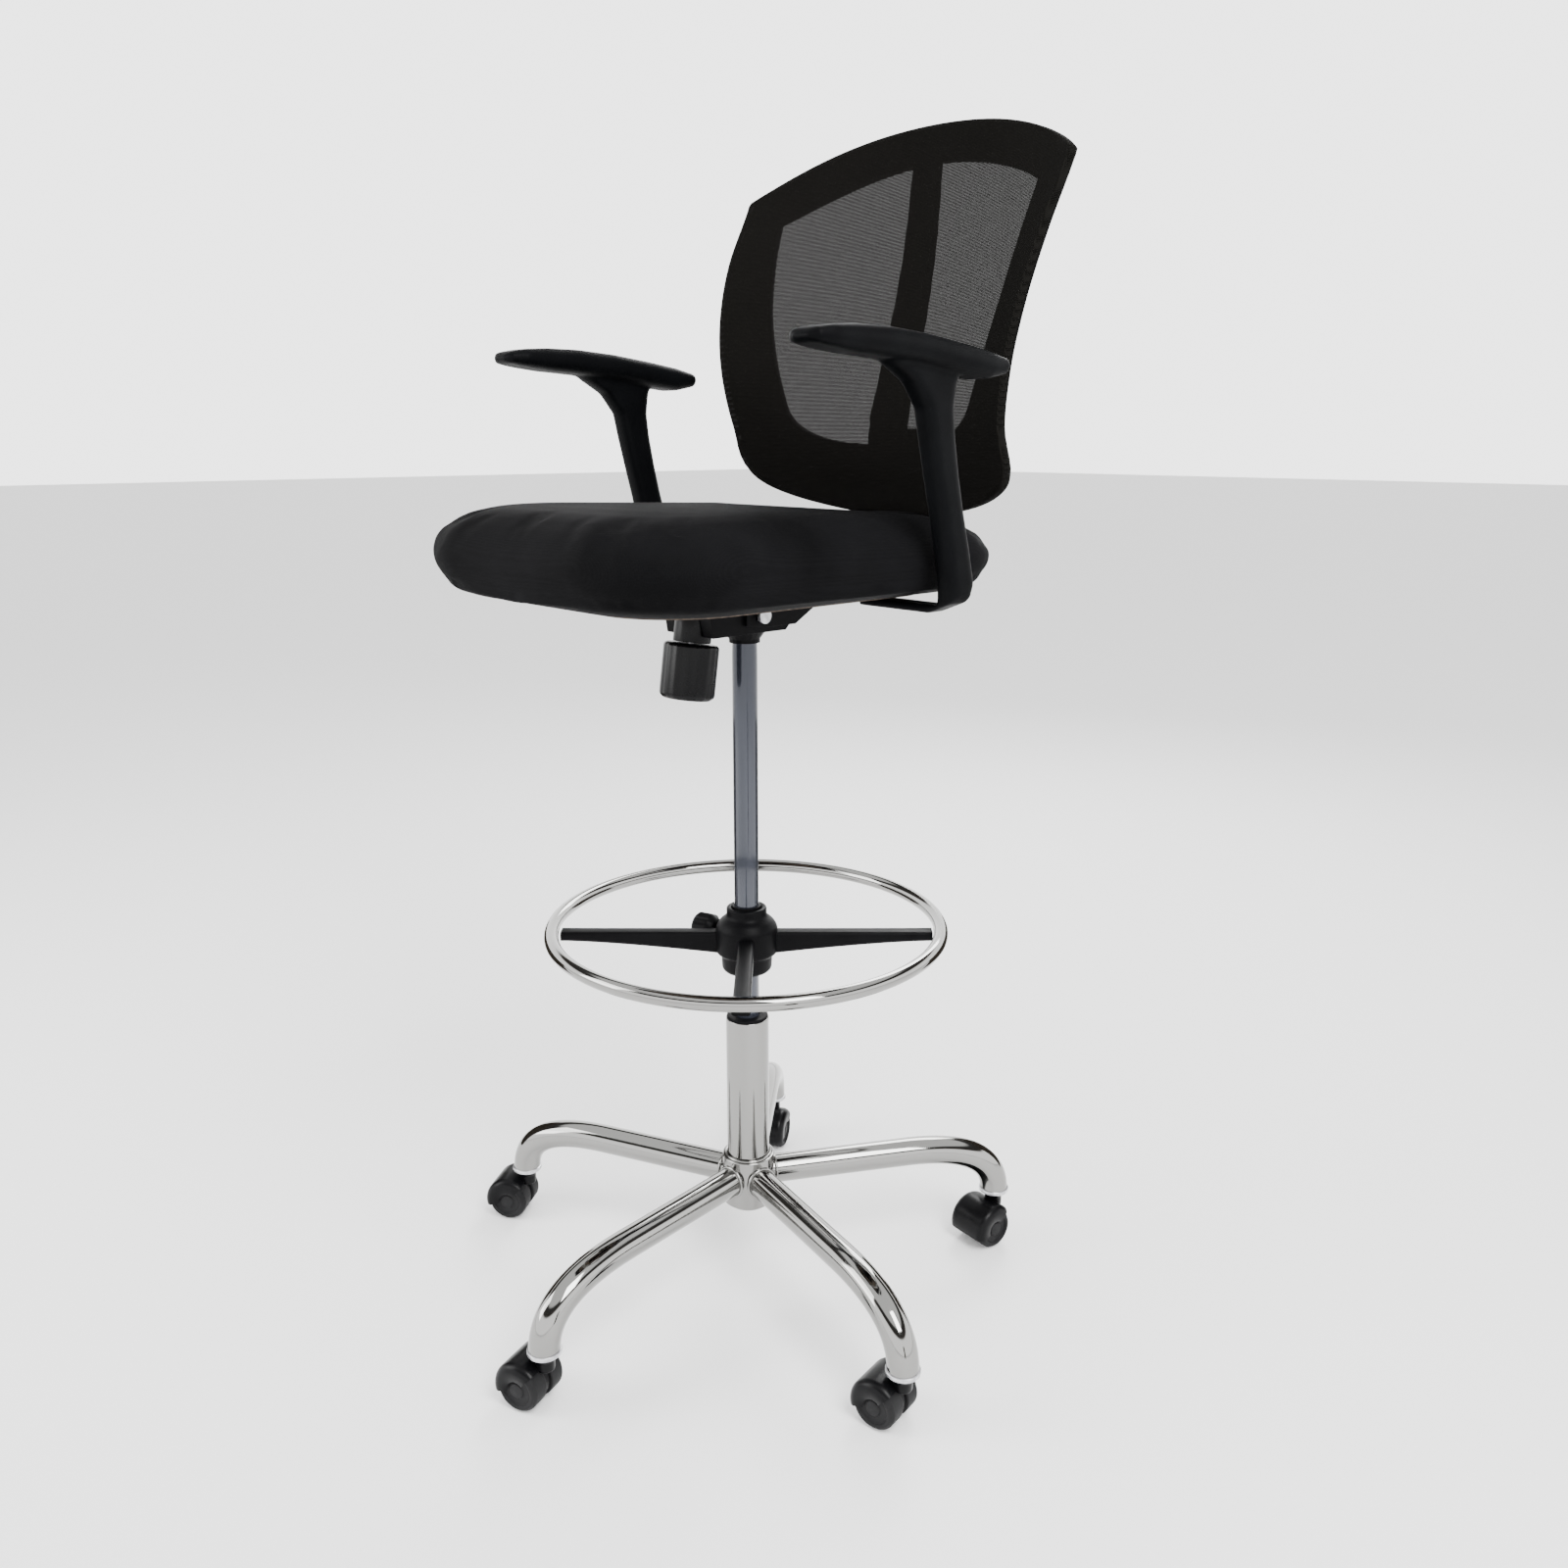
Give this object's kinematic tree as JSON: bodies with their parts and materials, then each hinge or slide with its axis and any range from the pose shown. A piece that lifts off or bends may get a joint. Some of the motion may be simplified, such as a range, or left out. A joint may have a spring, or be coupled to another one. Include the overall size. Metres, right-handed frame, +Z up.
{
  "type": "drafting chair",
  "caption": "Tall swivel drafting chair: padded seat, curved mesh back, T-shaped arms, foot ring on the lift tube, chrome star base on twin-wheel casters.",
  "frame": {"origin": "middle of the bounding box in plan, on the floor under the wheels", "axes": "+Z up; the sitter faces -Y, so the back is at +Y; +X is the sitter's left"},
  "size_m": [0.6768, 0.6538, 1.326],
  "materials": {
    "chrome": "polished chrome plate",
    "steel": "plain zinc-plated steel",
    "lift_tube_paint": "glossy dark slate blue",
    "black_paint": "satin black powder coat",
    "black_plastic": "satin black moulding",
    "knob_plastic": "smooth black, soft highlights",
    "arm_plastic": "charcoal, fine grain",
    "nylon": "black nylon",
    "seat_cloth": "black woven upholstery over foam",
    "back_cloth": "open dark mesh, slightly see-through",
    "board": "bare plywood, underside stained dark"
  },
  "bodies": {
    "base": {"base_hub": "chrome", "leg_1": "chrome", "leg_2": "chrome", "leg_3": "chrome", "leg_4": "chrome", "leg_5": "chrome", "outer_column": "chrome", "guide_bush": "black_plastic", "thrust_bearing": "steel", "retainer_clip": "steel"},
    "piston_rod": {"piston_rod": "steel"},
    "lift": {"lift_tube": "lift_tube_paint", "mech_housing": "black_paint", "tilt_axle": "steel", "spring_cup": "knob_plastic", "tension_spring": "steel", "tension_bolt": "steel"},
    "release_pin": {"release_pin": "steel"},
    "lever": {"lever_rod": "black_paint", "lever_grip": "black_plastic"},
    "tension_knob": {"tension_knob": "knob_plastic"},
    "seat": {"seat_plate": "black_paint", "seat_board": "board", "seat_cushion": "seat_cloth", "back_bracket": "black_plastic", "back_frame": "black_plastic", "back_mesh": "back_cloth", "arm_left": "arm_plastic", "arm_right": "arm_plastic"},
    "foot_ring": {"foot_ring_tube": "chrome", "ring_hub": "black_plastic", "clamp_collet": "nylon"},
    "clamp_knob": {"clamp_knob": "black_plastic"},
    "caster_1": {"caster_1_hood": "black_plastic", "caster_1_stem": "steel", "caster_1_axle": "steel"},
    "wheel_1_l": {"caster_1_wheel_l": "black_plastic"},
    "wheel_1_r": {"caster_1_wheel_r": "black_plastic"},
    "caster_2": {"caster_2_hood": "black_plastic", "caster_2_stem": "steel", "caster_2_axle": "steel"},
    "wheel_2_l": {"caster_2_wheel_l": "black_plastic"},
    "wheel_2_r": {"caster_2_wheel_r": "black_plastic"},
    "caster_3": {"caster_3_hood": "black_plastic", "caster_3_stem": "steel", "caster_3_axle": "steel"},
    "wheel_3_l": {"caster_3_wheel_l": "black_plastic"},
    "wheel_3_r": {"caster_3_wheel_r": "black_plastic"},
    "caster_4": {"caster_4_hood": "black_plastic", "caster_4_stem": "steel", "caster_4_axle": "steel"},
    "wheel_4_l": {"caster_4_wheel_l": "black_plastic"},
    "wheel_4_r": {"caster_4_wheel_r": "black_plastic"},
    "caster_5": {"caster_5_hood": "black_plastic", "caster_5_stem": "steel", "caster_5_axle": "steel"},
    "wheel_5_l": {"caster_5_wheel_l": "black_plastic"},
    "wheel_5_r": {"caster_5_wheel_r": "black_plastic"}
  },
  "joints": [
    {"name": "seat_swivel", "type": "hinge", "parent": "base", "child": "piston_rod", "pos_m": [0.00859, 0.03264, 0.1], "axis": [0, 0, 1], "continuous": true},
    {"name": "gas_lift", "type": "slide", "parent": "piston_rod", "child": "lift", "axis": [0, 0, 1], "range_m": [-0.16, 0]},
    {"name": "tilt", "type": "hinge", "parent": "lift", "child": "seat", "pos_m": [0.00859, 0.01864, 0.808], "axis": [-1, 0, 0], "range_deg": [0, 14], "stiffness_Nm_per_rad": 60, "springref_deg": -20.05},
    {"name": "height_lever", "type": "hinge", "parent": "lift", "child": "lever", "pos_m": [-0.02841, 0.04064, 0.806], "axis": [0, 1, 0], "range_deg": [0, 5], "stiffness_Nm_per_rad": 1.5, "springref_deg": -11.46},
    {"name": "pin_press", "type": "slide", "parent": "lift", "child": "release_pin", "axis": [0, 0, -1], "range_m": [0, 0.0034]},
    {"name": "tension_knob_turn", "type": "hinge", "parent": "lift", "child": "tension_knob", "pos_m": [0.00859, -0.03636, 0.813], "axis": [0, 0.1461, 0.9893], "range_deg": [-360, 360]},
    {"name": "ring_height", "type": "slide", "parent": "piston_rod", "child": "foot_ring", "axis": [0, 0, 1], "range_m": [-0.05, 0.08]},
    {"name": "clamp_knob_turn", "type": "hinge", "parent": "foot_ring", "child": "clamp_knob", "pos_m": [0.00859, 0.03264, 0.434], "axis": [-0.9613, -0.2756, 0], "range_deg": [-270, 0]},
    {"name": "caster_1_swivel", "type": "hinge", "parent": "base", "child": "caster_1", "pos_m": [0.31987, -0.03239, 0.06], "axis": [0, 0, 1], "continuous": true},
    {"name": "wheel_1_l_spin", "type": "hinge", "parent": "caster_1", "child": "wheel_1_l", "pos_m": [0.30018, -0.03587, 0.025], "axis": [0.1736, -0.9848, 0], "continuous": true},
    {"name": "wheel_1_r_spin", "type": "hinge", "parent": "caster_1", "child": "wheel_1_r", "pos_m": [0.30018, -0.03587, 0.025], "axis": [0.1736, -0.9848, 0], "continuous": true},
    {"name": "caster_2_swivel", "type": "hinge", "parent": "base", "child": "caster_2", "pos_m": [0.16663, 0.30858, 0.06], "axis": [0, 0, 1], "continuous": true},
    {"name": "wheel_2_l_spin", "type": "hinge", "parent": "caster_2", "child": "wheel_2_l", "pos_m": [0.16489, 0.28866, 0.025], "axis": [0.9962, -0.0872, 0], "continuous": true},
    {"name": "wheel_2_r_spin", "type": "hinge", "parent": "caster_2", "child": "wheel_2_r", "pos_m": [0.16489, 0.28866, 0.025], "axis": [0.9962, -0.0872, 0], "continuous": true},
    {"name": "caster_3_swivel", "type": "hinge", "parent": "base", "child": "caster_3", "pos_m": [-0.20502, 0.26821, 0.06], "axis": [0, 0, 1], "continuous": true},
    {"name": "wheel_3_l_spin", "type": "hinge", "parent": "caster_3", "child": "wheel_3_l", "pos_m": [-0.19502, 0.25089, 0.025], "axis": [0.866, 0.5, 0], "continuous": true},
    {"name": "wheel_3_r_spin", "type": "hinge", "parent": "caster_3", "child": "wheel_3_r", "pos_m": [-0.19502, 0.25089, 0.025], "axis": [0.866, 0.5, 0], "continuous": true},
    {"name": "caster_4_swivel", "type": "hinge", "parent": "base", "child": "caster_4", "pos_m": [-0.28146, -0.09772, 0.06], "axis": [0, 0, 1], "continuous": true},
    {"name": "wheel_4_l_spin", "type": "hinge", "parent": "caster_4", "child": "wheel_4_l", "pos_m": [-0.29785, -0.10919, 0.025], "axis": [0.5736, -0.8192, 0], "continuous": true},
    {"name": "wheel_4_r_spin", "type": "hinge", "parent": "caster_4", "child": "wheel_4_r", "pos_m": [-0.29785, -0.10919, 0.025], "axis": [0.5736, -0.8192, 0], "continuous": true},
    {"name": "caster_5_swivel", "type": "hinge", "parent": "base", "child": "caster_5", "pos_m": [0.04294, -0.2835, 0.06], "axis": [0, 0, 1], "continuous": true},
    {"name": "wheel_5_l_spin", "type": "hinge", "parent": "caster_5", "child": "wheel_5_l", "pos_m": [0.02414, -0.29034, 0.025], "axis": [0.342, -0.9397, 0], "continuous": true},
    {"name": "wheel_5_r_spin", "type": "hinge", "parent": "caster_5", "child": "wheel_5_r", "pos_m": [0.02414, -0.29034, 0.025], "axis": [0.342, -0.9397, 0], "continuous": true}
  ],
  "couplings": [
    {"joint": "pin_press", "follows": "height_lever", "m_per_rad": 0.037}
  ]
}
